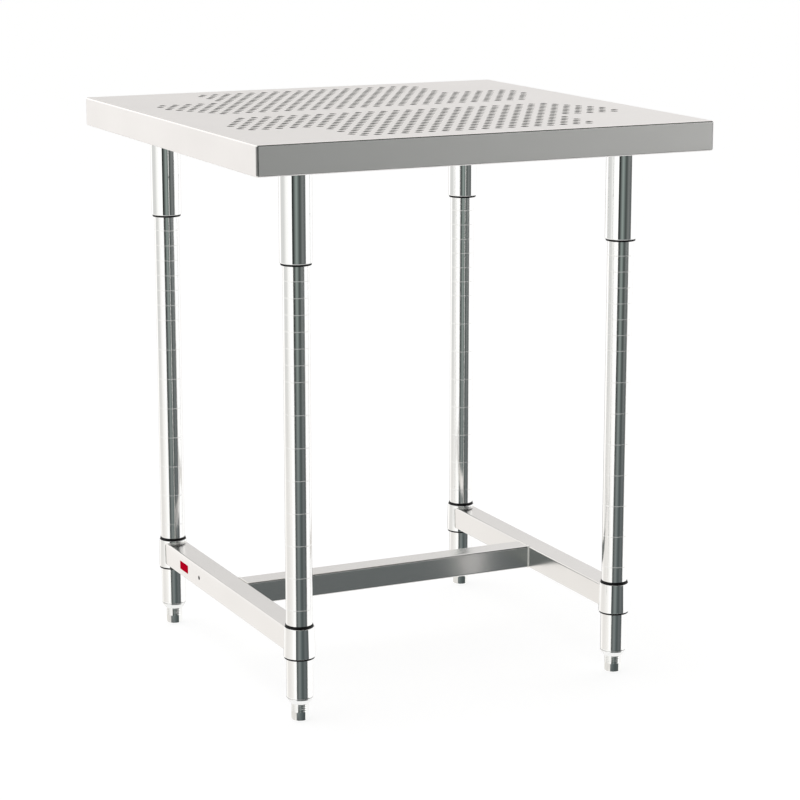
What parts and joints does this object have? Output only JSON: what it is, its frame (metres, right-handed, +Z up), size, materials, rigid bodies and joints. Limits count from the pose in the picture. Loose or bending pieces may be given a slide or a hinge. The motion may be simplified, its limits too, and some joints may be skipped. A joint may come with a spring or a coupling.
{
  "type": "work table",
  "caption": "Square stainless steel work table with a perforated folded top on grooved round posts, an H-shaped lower frame and levelling feet.",
  "frame": {"origin": "on the floor below the middle of the table", "axes": "+X to the right along the front edge, +Y to the back, +Z up"},
  "size_m": [0.76, 0.76, 0.903],
  "materials": {
    "brushed_steel": "satin sheet",
    "satin_steel": "fine satin",
    "polished_steel": "polished",
    "black_plastic": "matt moulded",
    "bright_zinc": "bright plated",
    "dark_steel": "dark plated"
  },
  "bodies": {
    "posts": {"post_front_left": "polished_steel", "post_front_right": "polished_steel", "post_back_left": "polished_steel", "post_back_right": "polished_steel", "foot_insert_front_left": "bright_zinc", "foot_insert_front_right": "bright_zinc", "foot_insert_back_left": "bright_zinc", "foot_insert_back_right": "bright_zinc"},
    "top": {"worktop": "brushed_steel", "centre_stiffener": "satin_steel", "corner_plate_front_left": "satin_steel", "corner_plate_front_right": "satin_steel", "corner_plate_back_left": "satin_steel", "corner_plate_back_right": "satin_steel", "leg_socket_front_left": "polished_steel", "leg_socket_front_right": "polished_steel", "leg_socket_back_left": "polished_steel", "leg_socket_back_right": "polished_steel", "upper_sleeve_front_left_front": "black_plastic", "upper_sleeve_front_left_back": "black_plastic", "upper_sleeve_front_right_front": "black_plastic", "upper_sleeve_front_right_back": "black_plastic", "upper_sleeve_back_left_front": "black_plastic", "upper_sleeve_back_left_back": "black_plastic", "upper_sleeve_back_right_front": "black_plastic", "upper_sleeve_back_right_back": "black_plastic"},
    "h_frame": {"left_rail": "satin_steel", "right_rail": "satin_steel", "cross_bar": "satin_steel", "rail_collar_front_left": "polished_steel", "rail_collar_front_right": "polished_steel", "rail_collar_back_left": "polished_steel", "rail_collar_back_right": "polished_steel", "lower_sleeve_front_left_front": "black_plastic", "lower_sleeve_front_left_back": "black_plastic", "lower_sleeve_front_right_front": "black_plastic", "lower_sleeve_front_right_back": "black_plastic", "lower_sleeve_back_left_front": "black_plastic", "lower_sleeve_back_left_back": "black_plastic", "lower_sleeve_back_right_front": "black_plastic", "lower_sleeve_back_right_back": "black_plastic"},
    "foot_front_left": {"levelling_foot_front_left": "dark_steel"},
    "foot_front_right": {"levelling_foot_front_right": "dark_steel"},
    "foot_back_left": {"levelling_foot_back_left": "dark_steel"},
    "foot_back_right": {"levelling_foot_back_right": "dark_steel"}
  },
  "joints": [
    {"name": "top_height", "type": "slide", "parent": "posts", "child": "top", "axis": [0, 0, 1], "range_m": [0, 0.1016]},
    {"name": "h_frame_height", "type": "slide", "parent": "posts", "child": "h_frame", "axis": [0, 0, 1], "range_m": [0, 0.508]},
    {"name": "foot_front_left_height", "type": "slide", "parent": "posts", "child": "foot_front_left", "axis": [0, 0, 1], "range_m": [-0.01, 0.0145]},
    {"name": "foot_front_right_height", "type": "slide", "parent": "posts", "child": "foot_front_right", "axis": [0, 0, 1], "range_m": [-0.01, 0.0145]},
    {"name": "foot_back_left_height", "type": "slide", "parent": "posts", "child": "foot_back_left", "axis": [0, 0, 1], "range_m": [-0.01, 0.0145]},
    {"name": "foot_back_right_height", "type": "slide", "parent": "posts", "child": "foot_back_right", "axis": [0, 0, 1], "range_m": [-0.01, 0.0145]}
  ]
}
